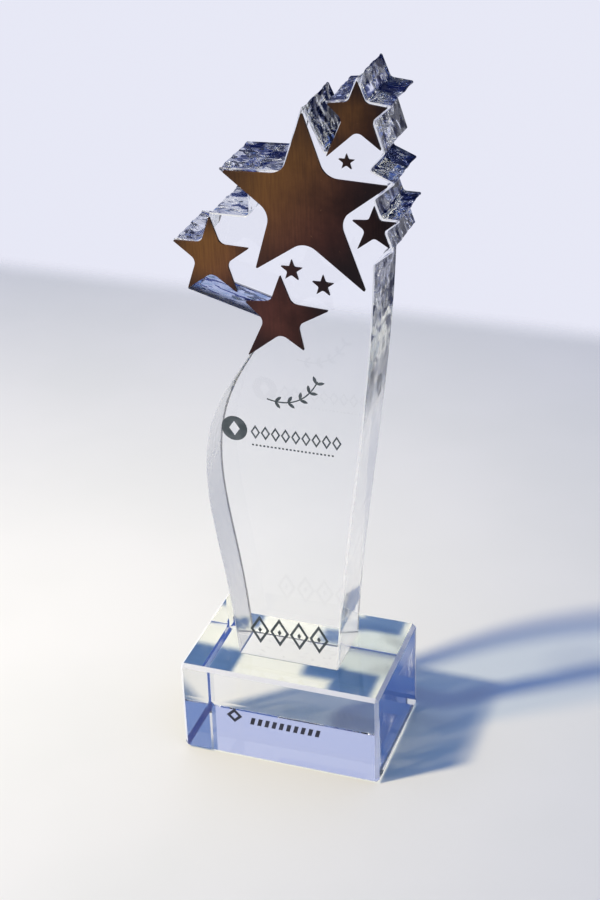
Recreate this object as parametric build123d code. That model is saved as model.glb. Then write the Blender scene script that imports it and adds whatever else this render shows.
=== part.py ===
from build123d import *

import os
from collections import namedtuple
from math import atan2, cos, degrees, radians, sin

# A crystal star award, in millimetres and +Z up. The origin is the centre of the block's underside,
# X runs to the right and Y away from the front. Every outline is drawn on the front, as (x, z).

# Driving dimensions: the slab's thickness sets the block too.
SLAB = 25.0
BLOCK_WIDTH = 3 * SLAB
BLOCK_DEPTH = 2 * SLAB
BLOCK_HEIGHT = 1.5 * SLAB
BLOCK_BEVEL = 1.3
SLAB_BEVEL = 0.35
BOND = 0.2  # adhesive film between the block and the slab's foot
PLATE = 0.8  # metal star plates
FILM = 0.1  # adhesive film behind each plate
FILM_MARGIN = 0.3  # how far a film stays inside its plate
ENAMEL = 0.1  # printed ornament
FRONT = SLAB / 2
BLOCK_FRONT = BLOCK_DEPTH / 2
FOOT_Z = BLOCK_HEIGHT + BOND
FOOT_HALF = 0.75 * SLAB

# A star: its centre, its five arms' lengths and their bearings in degrees clockwise from straight up,
# and how far the crystal stands out past it.
Star = namedtuple("Star", "centre arms bearings margin")
TOP, RIGHT, LOW_RIGHT, LOW_LEFT, LEFT = range(5)
EVEN = (0, 72, 144, 216, 288)
STARS = {
    "star_large": Star((11.5, 214.9), (30.3, 29.0, 34.0, 29.0, 28.6), EVEN, 0.8),
    "star_top": Star((29.1, 245.3), (10.8, 10.1, 12.9, 17.3, 9.9), EVEN, 0.6),
    "star_left": Star((-20.6, 194.1), (13.8, 13.8, 14.4, 14.9, 13.8), EVEN, 0.4),
    "star_bottom": Star((2.6, 175.7), (14.6, 16.8, 13.5, 19.7, 12.9), (0, 76, 146, 218, 288), 0.3),
    "star_right": Star((34.2, 209.6), (7.4, 7.6, 7.8, 9.3, 7.4), (0, 70, 141, 217, 286), 0.7),
    "star_tiny_upper": Star((25.6, 230.4), (2.7,) * 5, EVEN, 0),
    "star_tiny_left": Star((6.7, 192.4), (3.8,) * 5, EVEN, 0),
    "star_tiny_right": Star((17.1, 188.3), (3.8,) * 5, EVEN, 0),
}
NOTCH_REACH = 0.395  # of the mean arm, from the centre to the corner between two arms
NOTCH_ROUND = 0.2  # fillet in that corner, of the mean arm
TIP_ROUND = 0.012  # a plate's tips, of the mean arm
TIP_GROWTH = 2.4  # a sharp tip moves this much further out than the sides beside it

# The slab's curved sides below the stars, from the foot up.
LEFT_SIDE = [(-FOOT_HALF, FOOT_Z), (-22.9, 73.0), (-27.4, 113.5), (-21.0, 140.8)]
RIGHT_SIDE = [(FOOT_HALF, FOOT_Z), (24.1, 95.5), (30.3, 147.7), (33.9, 197.0)]
FOOT_RISE = (-0.08, 1)  # direction in which the left side leaves the foot
TIP_RISE = (0.6, 1)  # and in which it reaches the lower star's tip
WEB_CORNER = (32.6, 228.0)  # between the top star and the large star
SHELF_X = -7.4  # right end of the level cut beside the left star's top arm
CUT_ROUND = 1.6  # inner corners of the cut crystal
CUT_TIP = 0.5  # its outer corners


def mean_arm(star):
    return sum(star.arms) / len(star.arms)


def out_from(centre, bearing, reach):
    angle = radians(bearing)
    return (centre[0] + reach * sin(angle), centre[1] + reach * cos(angle))


def tip(star, arm, growth=0.0):
    return out_from(star.centre, star.bearings[arm], star.arms[arm] + growth * TIP_GROWTH)


def notch(star, arm, growth=0.0):
    """The corner between an arm and the next one clockwise."""
    after = star.bearings[(arm + 1) % 5] + (360 if arm == LEFT else 0)
    reach = NOTCH_REACH * mean_arm(star) + growth
    return out_from(star.centre, (star.bearings[arm] + after) / 2, reach)


def star_face(star, growth=0.0):
    points, rounds = [], []
    for arm in range(5):
        points += [tip(star, arm, growth), notch(star, arm, growth)]
        rounds += [TIP_ROUND * mean_arm(star), NOTCH_ROUND * mean_arm(star)]
    return make_face(FilletPolyline(*points, radius=rounds, close=True))


def raise_on_front(face, foot, height, front=FRONT):
    """A face drawn as (x, z), made into a solid from foot to foot + height in front of the crystal."""
    return extrude(Plane.XZ.offset(front + foot) * face, amount=height)


# The block and the slab


def crystal_base():
    block = Box(BLOCK_WIDTH, BLOCK_DEPTH, BLOCK_HEIGHT, align=(Align.CENTER, Align.CENTER, Align.MIN))
    return chamfer(block.edges(), BLOCK_BEVEL)


def slab_outline():
    """The slab's face, clockwise from the lower star's lowest tip, round the stars and down the right."""
    names = ("star_large", "star_top", "star_left", "star_bottom", "star_right")
    large, top, left, bottom, right = (STARS[name] for name in names)

    def tip_of(star, arm):
        return tip(star, arm, star.margin), CUT_TIP

    def notch_of(star, arm):
        return notch(star, arm, star.margin), min(CUT_ROUND, NOTCH_ROUND * mean_arm(star))

    left_apex, large_left = tip_of(left, TOP)[0], tip_of(large, LEFT)[0]
    shelf = (SHELF_X, left_apex[1])
    under = notch(large, LOW_LEFT, large.margin)
    rise = (SHELF_X - under[0]) / (large_left[0] - under[0])
    above_shelf = (SHELF_X, under[1] + rise * (large_left[1] - under[1]))
    corners = [
        tip_of(bottom, LOW_LEFT),
        notch_of(bottom, LOW_LEFT),
        tip_of(left, LOW_LEFT),
        notch_of(left, LOW_LEFT),
        tip_of(left, LEFT),
        notch_of(left, LEFT),
        (left_apex, CUT_TIP),
        (shelf, CUT_ROUND),
        (above_shelf, CUT_TIP),
        tip_of(large, LEFT),
        notch_of(large, LEFT),
        tip_of(large, TOP),
        (tip(top, LOW_LEFT), CUT_ROUND / 2),
        notch_of(top, LOW_LEFT),
        tip_of(top, LEFT),
        notch_of(top, LEFT),
        tip_of(top, TOP),
        notch_of(top, TOP),
        tip_of(top, RIGHT),
        notch_of(top, RIGHT),
        tip_of(top, LOW_RIGHT),
        (WEB_CORNER, CUT_ROUND / 2),
        tip_of(large, RIGHT),
        (tip(right, TOP, right.margin), CUT_ROUND / 2),
        notch_of(right, TOP),
        tip_of(right, RIGHT),
        notch_of(right, RIGHT),
        tip_of(right, LOW_RIGHT),
        (RIGHT_SIDE[-1], 0),
    ]
    points = [point for point, _ in corners]
    rounds = [rounding for _, rounding in corners]
    cut = FilletPolyline(*points, radius=rounds[1:-1])
    left_side = Spline(*LEFT_SIDE, points[0], tangents=(FOOT_RISE, TIP_RISE))
    right_side = Spline(*RIGHT_SIDE)
    foot = Line(LEFT_SIDE[0], RIGHT_SIDE[0])
    return make_face(Curve() + [cut, left_side, right_side, foot])


def crystal_tower():
    slab = extrude(Plane.XZ.offset(-FRONT) * slab_outline(), amount=SLAB)
    faces = slab.faces().sort_by(Axis.Y)
    return chamfer(faces[0].edges() + faces[-1].edges(), SLAB_BEVEL)


def tower_bond():
    width, depth = 2 * (FOOT_HALF - SLAB_BEVEL), SLAB - 2 * SLAB_BEVEL
    film = Box(width, depth, BOND, align=(Align.CENTER, Align.CENTER, Align.MIN))
    return Pos(0, 0, BLOCK_HEIGHT) * film


# The metal stars


def star_plate(star):
    """A metal star, on its film."""
    return raise_on_front(star_face(star), FILM, PLATE)


def star_adhesive():
    """A film behind each plate, a little smaller than the plate."""
    faces = [star_face(star, -FILM_MARGIN) for star in STARS.values()]
    return Compound([raise_on_front(face, 0, FILM).solid() for face in faces])


# The printed ornament


def lozenge(width, height, x, z):
    points = [(x, z + height / 2), (x + width / 2, z), (x, z - height / 2), (x - width / 2, z)]
    return make_face(Polyline(*points, close=True))


def open_lozenge(width, height, window, x, z):
    """A lozenge with a window of the same shape, window times its size."""
    return (lozenge(width, height, x, z) - lozenge(width * window, height * window, x, z)).face()


def slanted_dash(width, height, slant, x, z):
    points = [(x + slant, z + height), (x + slant + width, z + height), (x + width, z), (x, z)]
    return make_face(Polyline(*points, close=True))


def leaf(root, bearing, length, width):
    end = out_from(root, bearing, length)
    middle = out_from(root, bearing, length / 2)
    sides = [out_from(middle, bearing + turn, width / 2) for turn in (90, -90)]
    return make_face(Curve() + [ThreePointArc(root, side, end) for side in sides])


def enamel(faces, front=FRONT):
    return Compound([raise_on_front(face, 0, ENAMEL, front).solid() for face in faces])


def print_sprig():
    """A leaf sprig that dips, then climbs steeply to the right."""
    foot, bend, crown = (-3.8, 144.6), (5.2, 144.6), (14.2, 153.4)
    at_foot, at_crown = (1, -0.3), (0.5, 1)  # directions of the stem
    stem_width, pairs, leaf_length, leaf_width, lean = 0.45, 5, 3.0, 1.15, 48
    bare_foot, bare_crown = 0.13, 0.05  # shares of the stem without leaves
    stem = Spline(foot, bend, crown, tangents=(at_foot, at_crown))
    sprig = trace(stem, stem_width)
    for i in range(pairs):
        place = bare_foot + (1 - bare_foot - bare_crown) * i / (pairs - 1)
        root, along = stem @ place, stem % place
        heading = degrees(atan2(along.X, along.Y))
        for turn in (-lean, lean):
            sprig += leaf((root.X, root.Y), heading + turn, leaf_length, leaf_width)
    return enamel(sprig.faces())


def print_emblem():
    """A roundel with a lozenge window."""
    centre_x, centre_z, radius = -16.0, 131.6, 4.6
    window_width, window_height = 3.8, 5.6
    window = lozenge(window_width, window_height, centre_x, centre_z)
    return enamel([(Pos(centre_x, centre_z) * Circle(radius) - window).face()])


def print_band():
    """A row of open lozenges beside the roundel."""
    count, pitch, width, height, window = 9, 3.6, 3.3, 5.4, 0.62
    first_x, centre_z = -8.5, 131.2
    places = [first_x + i * pitch for i in range(count)]
    return enamel([open_lozenge(width, height, window, x, centre_z) for x in places])


def print_fine_rule():
    """A fine dashed line under the lozenges."""
    count, pitch, width, height, slant = 22, 1.35, 0.7, 0.6, 0.0
    first_x, foot_z = -9.9, 125.9
    return enamel([slanted_dash(width, height, slant, first_x + i * pitch, foot_z) for i in range(count)])


def print_lattice():
    """Open lozenges, each with a small solid one inside."""
    count, pitch, width, height, window = 4, 7.45, 7.2, 12.0, 0.7
    seed_width, seed_height = 1.45, 2.4
    first_x, centre_z = -10.3, 49.9
    faces = []
    for i in range(count):
        x = first_x + i * pitch
        faces.append(open_lozenge(width, height, window, x, centre_z))
        faces.append(lozenge(seed_width, seed_height, x, centre_z))
    return enamel(faces)


def base_print_mark():
    """An open lozenge at the left of the block's front."""
    width, height, window, centre_x, centre_z = 6.0, 6.0, 0.5, -16.9, 19.0
    return enamel([open_lozenge(width, height, window, centre_x, centre_z)], BLOCK_FRONT)


def base_print_band():
    """A row of slanted dashes beside it."""
    count, pitch, width, height, slant = 10, 2.75, 1.5, 3.0, 0.8
    first_x, foot_z = -11.0, 16.4
    dashes = [slanted_dash(width, height, slant, first_x + i * pitch, foot_z) for i in range(count)]
    return enamel(dashes, BLOCK_FRONT)


def main():
    os.makedirs("parts", exist_ok=True)
    makers = [crystal_base, crystal_tower, tower_bond, star_adhesive]
    makers += [print_sprig, print_emblem, print_band, print_fine_rule, print_lattice]
    makers += [base_print_mark, base_print_band]
    nodes = {maker.__name__: maker() for maker in makers}
    nodes.update({name: star_plate(star) for name, star in STARS.items()})
    for name, shape in nodes.items():
        export_step(shape, f"parts/{name}.step")


main()
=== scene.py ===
import math
from functools import reduce

import bmesh
import bpy
from mathutils import Matrix, Vector, geometry, noise
from mathutils.bvhtree import BVHTree


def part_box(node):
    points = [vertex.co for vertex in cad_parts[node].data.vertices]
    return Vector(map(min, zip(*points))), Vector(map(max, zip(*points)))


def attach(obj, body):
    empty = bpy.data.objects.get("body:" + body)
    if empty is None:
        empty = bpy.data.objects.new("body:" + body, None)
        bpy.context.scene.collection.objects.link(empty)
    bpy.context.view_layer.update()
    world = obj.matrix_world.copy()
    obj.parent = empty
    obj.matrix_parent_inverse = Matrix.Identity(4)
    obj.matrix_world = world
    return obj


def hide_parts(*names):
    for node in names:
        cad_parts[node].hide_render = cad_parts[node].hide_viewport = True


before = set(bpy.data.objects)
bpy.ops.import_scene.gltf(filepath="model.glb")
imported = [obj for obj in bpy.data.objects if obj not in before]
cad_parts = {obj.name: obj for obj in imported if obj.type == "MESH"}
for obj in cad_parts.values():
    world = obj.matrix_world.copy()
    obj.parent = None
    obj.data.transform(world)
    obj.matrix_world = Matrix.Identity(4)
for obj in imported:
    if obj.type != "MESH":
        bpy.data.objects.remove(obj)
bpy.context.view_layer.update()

MM = 0.001
STAR_NODES = [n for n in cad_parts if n.startswith("star_") and n != "star_adhesive"]
SLAB_LOW, SLAB_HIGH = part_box("crystal_tower")
BLOCK_LOW, BLOCK_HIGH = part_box("crystal_base")
BOND_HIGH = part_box("tower_bond")[1]
HAIR = 0.01 * MM  # places nearer than this are one place


# ---------------------------------------------------------------- node helpers


def new_material(name):
    material = bpy.data.materials.new(name)
    material.use_nodes = True
    material.node_tree.nodes.clear()
    return material, material.node_tree


def node(tree, kind, inputs=None, **settings):
    made = tree.nodes.new(kind)
    for key, value in settings.items():
        setattr(made, key, value)
    for key, value in (inputs or {}).items():
        if isinstance(key, str):
            socket = [s for s in made.inputs if s.enabled and key in (s.name, s.identifier)][0]
        else:
            socket = made.inputs[key]
        if isinstance(value, bpy.types.NodeSocket):
            tree.links.new(value, socket)
        else:
            socket.default_value = value
    return made


def maths(tree, operation, *values):
    return node(tree, "ShaderNodeMath", dict(enumerate(values)), operation=operation).outputs[0]


def ramp(tree, value, low, high, to_low=0.0, to_high=1.0):
    """Eases from to_low to to_high as value goes from low to high, and holds them beyond."""
    sockets = {"Value": value, "From Min": low, "From Max": high, "To Min": to_low, "To Max": to_high}
    return node(tree, "ShaderNodeMapRange", sockets, interpolation_type="SMOOTHSTEP").outputs["Result"]


def blend(tree, factor, a, b):
    made = node(tree, "ShaderNodeMix", {"Factor": factor, "A": a, "B": b}, data_type="RGBA")
    return [o for o in made.outputs if o.enabled][0]


def mottle(tree, place, scale, detail=3.0, roughness=0.5):
    sockets = {"Vector": place, "Scale": scale, "Detail": detail, "Roughness": roughness}
    return node(tree, "ShaderNodeTexNoise", sockets).outputs["Fac"]


def stretch(tree, place, scale):
    return node(tree, "ShaderNodeVectorMath", {0: place, 1: scale}, operation="MULTIPLY").outputs[0]


def split(tree, vector):
    made = node(tree, "ShaderNodeSeparateXYZ", {"Vector": vector})
    return [made.outputs[axis] for axis in "XYZ"]


def times(tree, *values):
    """The product of the values."""
    return reduce(lambda a, b: maths(tree, "MULTIPLY", a, b), values)


def most(tree, *values):
    """The greatest of the values."""
    return reduce(lambda a, b: maths(tree, "MAXIMUM", a, b), values)


def mix_shader(tree, factor, a, b):
    return node(tree, "ShaderNodeMixShader", {0: factor, 1: a, 2: b}).outputs[0]


def surface(tree, shader):
    output = node(tree, "ShaderNodeOutputMaterial")
    tree.links.new(shader, output.inputs["Surface"])


def object_space(tree):
    coordinates = node(tree, "ShaderNodeTexCoord")
    return coordinates.outputs["Object"], coordinates.outputs["Normal"]


def within(tree, value, low, high, soft):
    """1 between low and high, easing to 0 over soft on each side."""
    rise = ramp(tree, value, low - soft / 2, low + soft / 2)
    fall = ramp(tree, value, high - soft / 2, high + soft / 2, 1.0, 0.0)
    return times(tree, rise, fall)


# ---------------------------------------------------------------- crystal

CRYSTAL_IOR = 1.5
CRYSTAL_TINT = (0.985, 0.99, 1.0, 1)
SATIN = 0.32  # roughness of the ground bevels
FACE_MILK = (0.74, 0.77, 0.84, 1)  # the colour of ground glass on the faces
BEVEL_MILK = (0.90, 0.92, 0.95, 1)  # on the bevels
PAINTED_DARK_MILK = (0.006, 0.010, 0.06, 1)  # painted shade and painted reflections: where it faces away from the light, and in the cut's navy patches

# what a lamp keeps of its light as it goes in or out of the crystal
LIT = (0.96, 0.97, 0.985, 1)  # through one of the block's polished faces
SLAB_LIT = (0.84, 0.88, 0.92, 1)  # through the slab's wide faces, which the light meets aslant
TURNED = (0.03, 0.08, 0.24, 1)  # through the rear of the slab's sides, which turns the rest aside
SIDE_SHADE = (0.06, 0.12, 0.22, 1)  # through the block's right and back faces
UNDER_LIT = (1.31, 1.40, 1.58, 1)  # through its underside, where the block gathers light
UNDER_SHADE = (0.08, 0.22, 0.62, 1)  # and where its faces turn the light aside
UNDER_PAINTED_SHADE = (0.68, 0.82, 0.96, 1)  # painted shade: the underside tinted blue there, darkening the table seen through it

# the slab's edges
CUT_START, CUT_FULL = 0.150, 0.175  # heights between which the plain sides become the cut round the stars
CUT_PALE = (0.90, 0.92, 1.0, 1)  # the cut's glass between its painted reflections, faintly blue
CUT_PAINTED_REFLECTION = (0.06, 0.09, 0.36, 1)  # painted reflection: deep blue patches in the cut's glass
PATCH_SCALE = 190.0
PATCH_SLOPE = 5.0  # how much more of the cut takes the painted reflection toward the back
BLUE_PATCHES = 0.49, 0.60  # the patch noise over which the glass takes the blue painted reflection
NAVY_PATCHES = 0.54, 0.61  # and over which it takes milky navy, a painted reflection
NAVY_SHARE = 0.66
PALE_FROM, PALE_FULL = -14 * MM, -24 * MM  # the cut left of here is paler
PALER = 0.14
SIDE_ROUGH, CUT_ROUGH = 0.10, 0.01
LEFT_MILKY, RIGHT_MILKY, CUT_MILKY = 0.12, 0.02, 0.03
MIDDLE = -5 * MM, 5 * MM  # where the left side ends and the right side begins
TURN_START, TURN_FULL = SLAB_HIGH.y - 12 * MM, SLAB_HIGH.y - 9 * MM
LEDGE = 0.160, 0.186  # heights of the cut under the left star, which faces down and is darkened as painted shade
LEDGE_END, LEDGE_FULL = -2 * MM, -6 * MM
LEDGE_FRONT, LEDGE_BACK = SLAB_LOW.y + 2 * MM, SLAB_LOW.y + 11 * MM  # painted shade at the front, clear at the back
# how much painted shade the ledge gets at its front
LEDGE_SHADE = 0.97
HALFWAY = -1 * MM, 1 * MM  # where the front bevels end and the rear bevels begin
REAR_DARK, REAR_SATIN = 0.6, 0.2  # how much painted shade darkens the rear bevels, and how satin they are
EDGE_FACING = 0.2, 0.35  # the share of its normal along y under which a face is part of the cut edge
BEVEL_FACING = 0.4, 0.94  # and between which it is a bevel

# the block's underside, where the light is turned aside: low, high and soft edge, along x and y
BEYOND = -0.1  # well outside the block
UNLIT_LEFT = (BEYOND, -27 * MM, 3 * MM), (BEYOND, 12 * MM, 5 * MM)
UNLIT_MIDDLE = (-2 * MM, 14 * MM, 5 * MM), (4 * MM, 13 * MM, 5 * MM)
UNLIT_RIGHT = (10 * MM, 27 * MM, 4 * MM), (-5 * MM, 12 * MM, 4 * MM)
ON_FACE, OFF_FACE = 0.3 * MM, 1 * MM  # how near a face counts as on it, and how far as off it
FADE_LOW, FADE_HIGH = 26 * MM, 37 * MM  # the right face's shade fades between these heights
FADED = 0.45
BACK_CLEAR = 9 * MM  # width at the back face's left end over which its shade sets in
STREAK_SCALE = 130.0
STREAK_LENGTH = (1.0, 1.0, 0.35)
UPPER_BEVELS = BLOCK_HIGH.z - 3 * MM, BLOCK_HIGH.z - 1.5 * MM
FRONT_BEVELS = BLOCK_LOW.y + 5 * MM, BLOCK_LOW.y + 3 * MM
FOOT_BEVELS = 1.5 * MM, 3 * MM  # the lowest bevels stay clear
BEVEL_MILKY = 0.6


def bonded(tree, place, level):
    """1 on the glued footprint, where the two crystals join and light goes straight through."""
    x, y, z = split(tree, place)
    across = maths(tree, "COMPARE", x, 0.0, BOND_HIGH.x)
    along = maths(tree, "COMPARE", y, 0.0, BOND_HIGH.y)
    return times(tree, across, along, maths(tree, "COMPARE", z, level, HAIR))


def crystal(tree, place, level, colour, bevel, milky, lamp_tint, dark=0.0, rough=0.0):
    """Clear glass, satin on its bevels and ground where milky, that lets lamps through as lamp_tint.

    Its glued face is at the height level. Dark says where the ground glass is painted dark navy, as painted
    shade and painted reflections.
    """
    smudge = ramp(tree, mottle(tree, place, 60.0), 0.45, 0.75, 0.0, 0.012)
    roughness = maths(tree, "ADD", smudge, times(tree, bevel, SATIN))
    roughness = maths(tree, "ADD", roughness, rough)
    glass = node(
        tree,
        "ShaderNodeBsdfPrincipled",
        {"Base Color": colour, "Roughness": roughness, "IOR": CRYSTAL_IOR, "Transmission Weight": 1.0},
    ).outputs[0]
    milk = blend(tree, bevel, FACE_MILK, BEVEL_MILK)
    # painted shade and painted reflections: the milk turns dark navy where dark is set
    milk = blend(tree, ramp(tree, dark, 0.0, 0.3), milk, PAINTED_DARK_MILK)
    ground = node(tree, "ShaderNodeBsdfDiffuse", {"Color": milk}).outputs[0]
    glass = mix_shader(tree, milky, glass, ground)
    joint = node(tree, "ShaderNodeBsdfTransparent").outputs[0]
    glass = mix_shader(tree, bonded(tree, place, level), glass, joint)
    lamps = node(tree, "ShaderNodeBsdfTransparent", {"Color": lamp_tint}).outputs[0]
    surface(tree, mix_shader(tree, node(tree, "ShaderNodeLightPath").outputs["Is Shadow Ray"], glass, lamps))


def painted_reflection_patches(tree, place):
    """Painted reflections: a noise for the cut edges' deep patches, higher toward the back, lower at the
    left star.
    """
    x, y, z = split(tree, place)
    patches = maths(tree, "MULTIPLY_ADD", y, PATCH_SLOPE, mottle(tree, place, PATCH_SCALE, 2.0))
    return maths(tree, "SUBTRACT", patches, ramp(tree, x, PALE_FROM, PALE_FULL, 0.0, PALER))


def painted_shade_ledge(tree, place):
    """Painted shade: 1 at the front edge of the cut under the left star, fading toward the back and the
    right.
    """
    x, y, z = split(tree, place)
    depth = ramp(tree, y, LEDGE_FRONT, LEDGE_BACK, LEDGE_SHADE, 0.0)
    height = within(tree, z, *LEDGE, 4 * MM)
    return times(tree, height, ramp(tree, x, LEDGE_END, LEDGE_FULL), depth)


def slab_material():
    """Clear crystal with ground bevels and satin sides; the cut edges round the stars are mottled with
    painted reflections, and painted shade darkens the rear bevels and the ledge under the left star.
    """
    material, tree = new_material("crystal_slab")
    place, normal = object_space(tree)
    x, y, z = split(tree, place)
    facing = maths(tree, "ABSOLUTE", split(tree, normal)[1])
    wall = ramp(tree, facing, *EDGE_FACING, 1.0, 0.0)
    bevel = within(tree, facing, *BEVEL_FACING, 0.06)
    cut = times(tree, wall, ramp(tree, z, CUT_START, CUT_FULL))
    patches = painted_reflection_patches(tree, place)
    # painted shade: the rear bevels darkened navy
    shaded_rear_bevel = times(tree, bevel, ramp(tree, y, *HALFWAY, 0.0, REAR_DARK))
    # painted reflection: milky navy patches on the cut
    painted_navy = times(tree, cut, ramp(tree, patches, *NAVY_PATCHES, 0.0, NAVY_SHARE))
    dark = most(tree, times(tree, wall, painted_shade_ledge(tree, place)), shaded_rear_bevel, painted_navy)
    side_milky = ramp(tree, x, *MIDDLE, LEFT_MILKY, RIGHT_MILKY)
    milky = times(tree, wall, ramp(tree, z, CUT_START, CUT_FULL, side_milky, CUT_MILKY))
    # painted reflection: the cut's glass mottled pale and deep blue
    painted_reflections = blend(tree, ramp(tree, patches, *BLUE_PATCHES), CUT_PALE, CUT_PAINTED_REFLECTION)
    crystal(
        tree,
        place,
        SLAB_LOW.z,
        colour=blend(tree, cut, CRYSTAL_TINT, painted_reflections),
        bevel=times(tree, bevel, ramp(tree, y, *HALFWAY, 1.0, REAR_SATIN)),
        milky=most(tree, milky, dark),
        lamp_tint=blend(tree, times(tree, wall, ramp(tree, y, TURN_START, TURN_FULL)), SLAB_LIT, TURNED),
        dark=dark,
        rough=times(tree, wall, ramp(tree, z, CUT_START, CUT_FULL, SIDE_ROUGH, CUT_ROUGH)),
    )
    return material


def patch(tree, x, y, spread):
    """1 inside a patch given as low, high and soft edge, along x and along y."""
    along_x, along_y = spread
    return times(tree, within(tree, x, *along_x), within(tree, y, *along_y))


def side_shade(tree, place):
    """1 on the block's right and back faces, streaked as cut glass is, with less high on the right."""
    x, y, z = split(tree, place)
    right = ramp(tree, x, BLOCK_HIGH.x - OFF_FACE, BLOCK_HIGH.x - ON_FACE)
    right = times(tree, right, ramp(tree, z, FADE_LOW, FADE_HIGH, 1.0, FADED))
    back = ramp(tree, y, BLOCK_HIGH.y - OFF_FACE, BLOCK_HIGH.y - ON_FACE)
    back = times(tree, back, ramp(tree, x, BLOCK_LOW.x, BLOCK_LOW.x + BACK_CLEAR))
    streaks = mottle(tree, stretch(tree, place, STREAK_LENGTH), STREAK_SCALE)
    return times(tree, most(tree, right, back), ramp(tree, streaks, 0.40, 0.60, 0.84, 1.0))


def block_material():
    """Clear crystal with ground bevels. Lamps reach the table under it only where its faces let them;
    elsewhere its underside is tinted blue as painted shade.
    """
    material, tree = new_material("crystal_block")
    place, normal = object_space(tree)
    x, y, z = split(tree, place)
    axes = [maths(tree, "ABSOLUTE", n) for n in split(tree, normal)]
    bevel = ramp(tree, most(tree, *axes), 0.85, 0.95, 1.0, 0.0)
    upper = ramp(tree, z, *UPPER_BEVELS)
    front = times(tree, ramp(tree, y, *FRONT_BEVELS), ramp(tree, z, *FOOT_BEVELS))
    bevel = times(tree, bevel, most(tree, upper, front))
    under = times(tree, axes[2], ramp(tree, z, 1 * MM, 2 * MM, 1.0, 0.0))
    unlit = [patch(tree, x, y, spread) for spread in (UNLIT_LEFT, UNLIT_MIDDLE, UNLIT_RIGHT)]
    shade = times(tree, under, most(tree, *unlit))
    beneath = blend(tree, shade, blend(tree, under, LIT, UNDER_LIT), UNDER_SHADE)
    crystal(
        tree,
        place,
        BLOCK_HIGH.z,
        # painted shade: the underside is tinted blue where the light is turned aside
        colour=blend(tree, shade, CRYSTAL_TINT, UNDER_PAINTED_SHADE),
        bevel=bevel,
        milky=times(tree, bevel, BEVEL_MILKY),
        lamp_tint=blend(tree, side_shade(tree, place), beneath, SIDE_SHADE),
    )
    return material


# ---------------------------------------------------------------- metal, enamel and film

PAINTED_LIGHT_BRONZE = (0.215, 0.096, 0.024, 1)  # painted light: the bronze lighter at the upper left, as if lit from there
WARM = (0.170, 0.056, 0.040, 1)  # the bronze lower down, between the painted light and the painted shade
PAINTED_SHADE_BRONZE = (0.007, 0.002, 0.002, 1)  # painted shade: near black at the lower right
DULL = (0.030, 0.012, 0.009, 1)  # between the brush marks
DARKENED_BRONZE = (0.014, 0.009, 0.010, 1)  # darker, toward the points and on the tiny stars
FLECK = (0.26, 0.13, 0.06, 1)
BACK_COAT = (0.008, 0.014, 0.050, 1)
BRUSH_SCALE = 1500.0
BRUSH_LENGTH = (1.0, 1.0, 0.06)  # squeezed along z, so the brush marks run upright
CLOUD_SCALE = 90.0
GRAIN_SCALE = 900.0
PAINTED_LIGHT_FROM, PAINTED_LIGHT_FULL = 0.178, 0.228  # z - x over which warm turns to the painted light
HEIGHT_SHARE = 0.35  # how much a place's height keeps it out of the painted shade, beside how far left it is
PAINTED_SHADE_BELOW, UNSHADED_ABOVE = 0.050, 0.100
TIP_SHARE = 0.70  # how far a star's points are darkened
PLAIN_DARKENING, TINY_DARKENING = 0.0, 0.65  # and on the rest of it


def toward_tips(tree, place):
    """How far a point is from the centre of its star, in the star's half width."""
    nearest = 2.0
    for name in STAR_NODES:
        low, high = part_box(name)
        ends = {0: place, 1: (low + high) / 2}
        away = node(tree, "ShaderNodeVectorMath", ends, operation="DISTANCE").outputs["Value"]
        nearest = maths(tree, "MINIMUM", nearest, maths(tree, "DIVIDE", away, (high.x - low.x) / 2))
    return nearest


def bronze_colour(tree, place, brushed):
    """Painted light makes it golden at the upper left, painted shade dark maroon at the lower right."""
    x, y, z = split(tree, place)
    painted_light = ramp(tree, maths(tree, "SUBTRACT", z, x), PAINTED_LIGHT_FROM, PAINTED_LIGHT_FULL)
    clouds = mottle(tree, place, CLOUD_SCALE, 4.0, 0.6)
    slope = maths(tree, "MULTIPLY_ADD", z, HEIGHT_SHARE, times(tree, x, -1.0))
    slope = maths(tree, "ADD", slope, times(tree, clouds, 0.030))
    # painted shade toward the lower right, its edge mottled by the clouds
    unshaded = ramp(tree, slope, PAINTED_SHADE_BELOW, UNSHADED_ABOVE)
    colour = blend(tree, unshaded, PAINTED_SHADE_BRONZE, blend(tree, painted_light, WARM, PAINTED_LIGHT_BRONZE))
    return blend(tree, ramp(tree, brushed, 0.30, 0.70, 0.35, 0.0), colour, DULL)


def bronze_material(name, darkening):
    """Antique bronze, brushed upright, with painted light at the upper left and painted shade at the lower
    right, darker toward a star's points. The second argument says how dark the rest is.
    """
    material, tree = new_material(name)
    place, normal = object_space(tree)
    brushed = mottle(tree, stretch(tree, place, BRUSH_LENGTH), BRUSH_SCALE, 4.0, 0.6)
    grain = mottle(tree, place, GRAIN_SCALE, 3.0, 0.6)
    tips = ramp(tree, toward_tips(tree, place), 0.35, 1.10, darkening, TIP_SHARE)
    colour = blend(tree, tips, bronze_colour(tree, place, brushed), DARKENED_BRONZE)
    colour = blend(tree, ramp(tree, grain, 0.66, 0.78, 0.0, 0.55), colour, FLECK)
    colour = blend(tree, ramp(tree, split(tree, normal)[1], 0.5, 0.8), colour, BACK_COAT)
    bump = node(tree, "ShaderNodeBump", {"Height": brushed, "Strength": 0.25, "Distance": 0.05 * MM})
    base = node(
        tree,
        "ShaderNodeBsdfPrincipled",
        {
            "Base Color": colour,
            "Metallic": 0.3,
            "Roughness": ramp(tree, brushed, 0.2, 0.8, 0.42, 0.60),
            "Specular IOR Level": 0.2,
            "Normal": bump.outputs[0],
        },
    )
    surface(tree, base.outputs[0])
    return material


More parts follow.
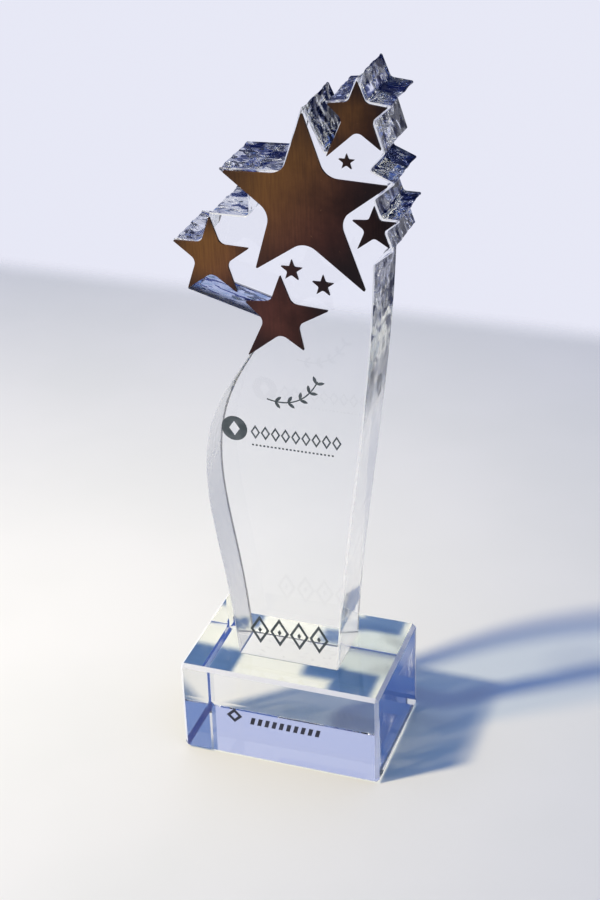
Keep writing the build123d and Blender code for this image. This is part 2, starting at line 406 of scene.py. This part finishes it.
def enamel_material(name, colour, worn):
    """Screen-printed enamel: a fine grain, thin in places."""
    material, tree = new_material(name)
    place = object_space(tree)[0]
    grain = mottle(tree, place, 2600.0, 2.0)
    patchy = mottle(tree, place, 260.0, 3.0)
    tone = blend(tree, ramp(tree, patchy, 0.35, 0.7), (*colour, 1), (*worn, 1))
    rough = ramp(tree, grain, 0.3, 0.7, 0.38, 0.62)
    bump = node(tree, "ShaderNodeBump", {"Height": grain, "Strength": 0.3, "Distance": 0.02 * MM})
    base = node(
        tree, "ShaderNodeBsdfPrincipled", {"Base Color": tone, "Roughness": rough, "Normal": bump.outputs[0]}
    )
    surface(tree, base.outputs[0])
    return material


def film_material():
    """Clear cured glue with a few faint cloudy spots."""
    material, tree = new_material("clear_film")
    place = object_space(tree)[0]
    cloud = ramp(tree, mottle(tree, place, 320.0, 3.0, 0.6), 0.55, 0.80, 0.0, 0.10)
    clear = node(tree, "ShaderNodeBsdfTransparent").outputs[0]
    milky = node(tree, "ShaderNodeBsdfPrincipled", {"Base Color": (0.8, 0.82, 0.86, 1), "Roughness": 0.4})
    surface(tree, mix_shader(tree, cloud, clear, milky.outputs[0]))
    return material


# ---------------------------------------------------------------- the slab's hand-finished edges

OUTLINE_STEP = 0.8 * MM
WAVE_ROWS = 34
WAVE_DEPTH = 0.38 * MM
WAVE_LENGTH = 4.5 * MM
FINE_LENGTH = 1.9 * MM
FINE_SHARE = 0.6
FINE_SHIFT = Vector((7.3, 1.9, 4.1))  # keeps the fine waves out of step with the wide ones
CREST = 0.6  # waves higher than this are cut off by the slab's outline
CALM_EDGE = 1.5 * MM  # depth over which the waves die out toward the bevels
CALM_FOOT = 2 * MM  # and height over which they die out toward the foot
QUIET = 0.12  # share of the waves left on the slab's plain sides
GLUE_GAP = 0.15 * MM


def edge_ring(mesh):
    """The slab's outline just behind its front bevel, in order, as (x, z), and its depth."""
    work = bmesh.new()
    work.from_mesh(mesh)
    bmesh.ops.remove_doubles(work, verts=work.verts, dist=HAIR)
    work.normal_update()
    walls = {f for f in work.faces if abs(f.normal.y) < 0.2}
    depth = min(v.co.y for f in walls for v in f.verts)
    beside = {}
    for edge in work.edges:
        level = all(abs(v.co.y - depth) < HAIR for v in edge.verts)
        if level and sum(f in walls for f in edge.link_faces) == 1:
            a, b = edge.verts
            beside.setdefault(a, []).append(b)
            beside.setdefault(b, []).append(a)
    start = next(iter(beside))
    loop = [start, beside[start][0]]
    while len(loop) < len(beside):
        loop += [v for v in beside[loop[-1]] if v is not loop[-2]]
    points = [Vector((v.co.x, v.co.z)) for v in loop]
    work.free()
    return points, depth


def turned_clockwise(points):
    area = sum(a.x * b.y - b.x * a.y for a, b in zip(points, points[1:] + points[:1]))
    return points if area < 0 else points[::-1]


def resampled(points, step):
    made = []
    for a, b in zip(points, points[1:] + points[:1]):
        count = max(1, math.ceil((b - a).length / step))
        made += [a.lerp(b, i / count) for i in range(count)]
    return made


def outward_normals(points):
    normals = []
    for before, after in zip(points[-1:] + points[:-1], points[1:] + points[:1]):
        along = (after - before).normalized()
        normals.append(Vector((-along.y, along.x)))
    return normals


def smoothstep(low, high, value):
    t = min(1.0, max(0.0, (value - low) / (high - low)))
    return t * t * (3 - 2 * t)


def wave(point):
    wide = noise.noise(point / WAVE_LENGTH)
    fine = noise.noise(point / FINE_LENGTH + FINE_SHIFT)
    return wide + FINE_SHARE * fine


def glued_patches():
    """The glue's faces on the slab: a tree to find them in, and their outlines' points (x, z) and edges."""
    work = bmesh.new()
    work.from_mesh(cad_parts["star_adhesive"].data)
    bmesh.ops.remove_doubles(work, verts=work.verts, dist=HAIR)
    work.normal_update()
    bmesh.ops.delete(work, geom=[f for f in work.faces if f.normal.y < 0.9], context="FACES")
    tree = BVHTree.FromBMesh(work)
    rim = [e for e in work.edges if len(e.link_faces) == 1]
    corners = list(dict.fromkeys(v for e in rim for v in e.verts))
    number = {v: i for i, v in enumerate(corners)}
    points = [Vector((v.co.x, v.co.z)) for v in corners]
    edges = [(number[e.verts[0]], number[e.verts[1]]) for e in rim]
    work.free()
    return tree, points, edges


def pushed_inside(point, outline, normals):
    """The point, moved in from the outline where it lies nearer to it than GLUE_GAP."""
    near = min(range(len(outline)), key=lambda i: (outline[i] - point).length_squared)
    depth = (outline[near] - point).dot(normals[near])
    return point - normals[near] * max(0, GLUE_GAP - depth)


def add_front(work, row, normals):
    """Fills the slab's front, and gives the faces that are glued to a star the second material."""
    tree, points, edges = glued_patches()
    outline = [Vector((v.co.x, v.co.z)) for v in row]
    points = [pushed_inside(p, outline, normals) for p in points]
    count = len(outline)
    rim = [(i, (i + 1) % count) for i in range(count)]
    inner = [(a + count, b + count) for a, b in edges]
    made = geometry.delaunay_2d_cdt(outline + points, rim + inner, [], 1, 1e-7)
    y = row[0].co.y
    corners = [work.verts.new((p.x, y, p.y)) for p in made[0]]
    for triangle in made[2]:
        face = work.faces.new([corners[i] for i in triangle])
        behind = face.calc_center_median() + Vector((0, 1 * MM, 0))
        face.material_index = int(tree.ray_cast(behind, Vector((0, -1, 0)), 2 * MM)[0] is not None)


def pulled_in(place, y, wall_front, wall_back):
    """How far the hand-ground edge lies inside the plain one, at a place (x, z) and depth y."""
    into = smoothstep(0, CALM_EDGE, min(y - wall_front, wall_back - y))
    share = QUIET + (1 - QUIET) * smoothstep(CUT_START, CUT_FULL, place.y)
    share *= smoothstep(SLAB_LOW.z, SLAB_LOW.z + CALM_FOOT, place.y)
    return max(0, WAVE_DEPTH * into * share * (CREST - wave(Vector((place.x, y, place.y)))))


def add_ring(work, ring, normals, y, insets):
    """A ring of corners at depth y, each moved in from the outline by its inset."""
    spots = [place - normal * inset for place, normal, inset in zip(ring, normals, insets)]
    return [work.verts.new((spot.x, y, spot.y)) for spot in spots]


def join_rings(work, rows):
    """Faces from each ring to the next: flat across the two bevels, smooth between them."""
    for number, (here, after) in enumerate(zip(rows, rows[1:])):
        chamfer = number in (0, len(rows) - 2)
        for i in range(len(here)):
            j = (i + 1) % len(here)
            face = work.faces.new((here[i], after[i], after[j], here[j]))
            face.smooth = not chamfer


def slab_body():
    """The slab as a bmesh, its edge faces pulled in here and there by the waves."""
    outline, wall_front = edge_ring(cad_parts["crystal_tower"].data)
    bevel = wall_front - SLAB_LOW.y
    wall_back = SLAB_HIGH.y - bevel
    ring = resampled(turned_clockwise(outline), OUTLINE_STEP)
    normals = outward_normals(ring)
    work = bmesh.new()
    rows = [add_ring(work, ring, normals, SLAB_LOW.y, [bevel] * len(ring))]
    for i in range(WAVE_ROWS + 1):
        y = wall_front + (wall_back - wall_front) * i / WAVE_ROWS
        insets = [pulled_in(place, y, wall_front, wall_back) for place in ring]
        rows.append(add_ring(work, ring, normals, y, insets))
    rows.append(add_ring(work, ring, normals, SLAB_HIGH.y, [bevel] * len(ring)))
    join_rings(work, rows)
    add_front(work, rows[0], normals)
    work.faces.new(rows[-1][::-1])
    bmesh.ops.remove_doubles(work, verts=work.verts, dist=0.1 * HAIR)
    work.normal_update()
    bmesh.ops.triangulate(work, faces=[f for f in work.faces if len(f.verts) > 4])
    bmesh.ops.recalc_face_normals(work, faces=work.faces)
    for edge in work.edges:
        edge.smooth = all(f.smooth for f in edge.link_faces)
    return work


def build_slab():
    """The crystal slab again, with its cut edges slightly wavy, as hand grinding leaves them."""
    work = slab_body()
    mesh = bpy.data.meshes.new("crystal_tower_cut")
    work.to_mesh(mesh)
    work.free()
    slab = bpy.data.objects.new("crystal_tower_cut", mesh)
    bpy.context.scene.collection.objects.link(slab)
    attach(slab, "root")
    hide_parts("crystal_tower")
    return slab


def assign(name, material):
    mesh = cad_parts[name].data
    mesh.materials.clear()
    mesh.materials.append(material)


# ---------------------------------------------------------------- the scene

CAMERA_PLACE = (0.1867, -0.5050, 0.4240)
CAMERA_YAW, CAMERA_PITCH, CAMERA_ROLL = 20.02, 29.56, 1.93  # degrees, from looking level along +y
LENS, SENSOR_HEIGHT = 71.96, 36.0

WALL = (0.80, 0.81, 0.92, 1)
DARK_BAND = (0.03, 0.05, 0.22, 1)  # above the wall, seen only in the crystal
OVERHEAD_LEFT = (0.48, 0.53, 0.78, 1)
OVERHEAD_RIGHT = (0.13, 0.22, 0.50, 1)
ZENITH = (0.18, 0.28, 0.44, 1)
BEHIND_CAMERA = (0.03, 0.09, 0.38, 1)


def add_camera():
    yaw, pitch, roll = (math.radians(turn) for turn in (CAMERA_YAW, CAMERA_PITCH, CAMERA_ROLL))
    forward = Vector((-math.sin(yaw) * math.cos(pitch), math.cos(yaw) * math.cos(pitch), -math.sin(pitch)))
    level = Vector((math.cos(yaw), math.sin(yaw), 0))
    down = forward.cross(level)
    right = level * math.cos(roll) + down * math.sin(roll)
    low = down * math.cos(roll) - level * math.sin(roll)
    data = bpy.data.cameras.new("camera")
    data.sensor_fit = "VERTICAL"
    data.sensor_height = SENSOR_HEIGHT
    data.lens = LENS
    camera = bpy.data.objects.new("camera", data)
    turn = Matrix((right, -low, -forward)).transposed().to_4x4()
    camera.matrix_world = Matrix.Translation(CAMERA_PLACE) @ turn
    bpy.context.scene.collection.objects.link(camera)
    bpy.context.scene.camera = camera


def add_world():
    """A pale wall all round, a dark band over it, blue overhead, and a dark studio behind the camera."""
    world = bpy.data.worlds.new("studio")
    world.use_nodes = True
    bpy.context.scene.world = world
    tree = world.node_tree
    tree.nodes.clear()
    x, y, z = split(tree, node(tree, "ShaderNodeTexCoord").outputs["Generated"])
    colour = blend(tree, ramp(tree, x, -0.35, 0.45), OVERHEAD_LEFT, OVERHEAD_RIGHT)
    colour = blend(tree, ramp(tree, z, 0.65, 1.0), colour, ZENITH)
    colour = blend(tree, ramp(tree, z, 0.38, 0.50), DARK_BAND, colour)
    colour = blend(tree, ramp(tree, z, 0.0, 0.10), WALL, colour)
    colour = blend(tree, ramp(tree, y, 0.1, -0.5), colour, BEHIND_CAMERA)
    back = node(tree, "ShaderNodeBackground", {"Color": colour, "Strength": 1.0})
    output = node(tree, "ShaderNodeOutputWorld")
    tree.links.new(back.outputs[0], output.inputs["Surface"])


FLOOR_DROP = 0.2 * MM  # leaves a thin film of air under the polished block
FLOOR_SIDE = 3.0
FLOOR_FAR = 0.40
EDGE_FADE = (0.342, 0.373)  # the table's far edge, out of focus
TABLE_COOL = (0.80, 0.815, 0.79, 1)
TABLE_WARM = (0.83, 0.84, 0.82, 1)


def add_floor():
    mesh = bpy.data.meshes.new("floor")
    corners = [(-1, -FLOOR_SIDE), (1, -FLOOR_SIDE), (1, FLOOR_FAR), (-1, FLOOR_FAR)]
    mesh.from_pydata([(side * FLOOR_SIDE, y, -FLOOR_DROP) for side, y in corners], [], [(0, 1, 2, 3)])
    floor = bpy.data.objects.new("floor", mesh)
    bpy.context.scene.collection.objects.link(floor)
    material, tree = new_material("pale_table")
    place = object_space(tree)[0]
    colour = blend(tree, ramp(tree, mottle(tree, place, 9.0), 0.35, 0.65), TABLE_COOL, TABLE_WARM)
    table = node(tree, "ShaderNodeBsdfPrincipled", {"Base Color": colour, "Roughness": 0.6}).outputs[0]
    beyond = node(tree, "ShaderNodeBsdfTransparent").outputs[0]
    surface(tree, mix_shader(tree, ramp(tree, split(tree, place)[1], *EDGE_FADE), table, beyond))
    mesh.materials.append(material)


LAMP_PLACE = Vector((-0.80, -0.62, 1.10))
LAMP_AIM = Vector((-0.10, 0.07, 0.0))
LAMP_SIZE = 0.14
LAMP_POWER = 3.3
LAMP_COLOUR = (1.0, 0.90, 0.68)
LAMP_SPREAD = 64  # degrees


def add_lamp():
    """One warm lamp from the front left, its pool of light centred left of the trophy."""
    data = bpy.data.lights.new("key", "AREA")
    data.shape = "DISK"
    data.size = LAMP_SIZE
    data.energy = LAMP_POWER
    data.color = LAMP_COLOUR
    data.spread = math.radians(LAMP_SPREAD)
    lamp = bpy.data.objects.new("key", data)
    turn = (LAMP_AIM - LAMP_PLACE).to_track_quat("-Z", "Y").to_matrix().to_4x4()
    lamp.matrix_world = Matrix.Translation(LAMP_PLACE) @ turn
    bpy.context.scene.collection.objects.link(lamp)


SLAB_ENAMEL = (0.045, 0.062, 0.066), (0.10, 0.12, 0.125)  # colour, and where it is worn
BLOCK_ENAMEL = (0.006, 0.008, 0.022), (0.018, 0.022, 0.045)


def dress_parts():
    """Gives every CAD piece its material, and builds the slab."""
    assign("crystal_base", block_material())
    film = film_material()
    slab = build_slab()
    slab.data.materials.append(slab_material())
    slab.data.materials.append(film)
    bronze = bronze_material("bronze_star", PLAIN_DARKENING)
    dark_bronze = bronze_material("bronze_tiny_star", TINY_DARKENING)
    for name in STAR_NODES:
        assign(name, dark_bronze if "tiny" in name else bronze)
    slab_enamel = enamel_material("slab_enamel", *SLAB_ENAMEL)
    block_enamel = enamel_material("block_enamel", *BLOCK_ENAMEL)
    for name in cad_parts:
        if name.startswith("print_"):
            assign(name, slab_enamel)
        elif name.startswith("base_print_"):
            assign(name, block_enamel)
    assign("tower_bond", film)
    assign("star_adhesive", film)


def light_through_crystal():
    """Enough bounces for light to cross the crystal many times."""
    cycles = bpy.context.scene.cycles
    cycles.max_bounces = 32
    cycles.transmission_bounces = 32
    cycles.glossy_bounces = 24
    cycles.transparent_max_bounces = 32
    cycles.caustics_refractive = False
    cycles.caustics_reflective = False


def main():
    dress_parts()
    add_camera()
    add_world()
    add_floor()
    add_lamp()
    light_through_crystal()
    bpy.context.scene.view_settings.view_transform = "Standard"


main()
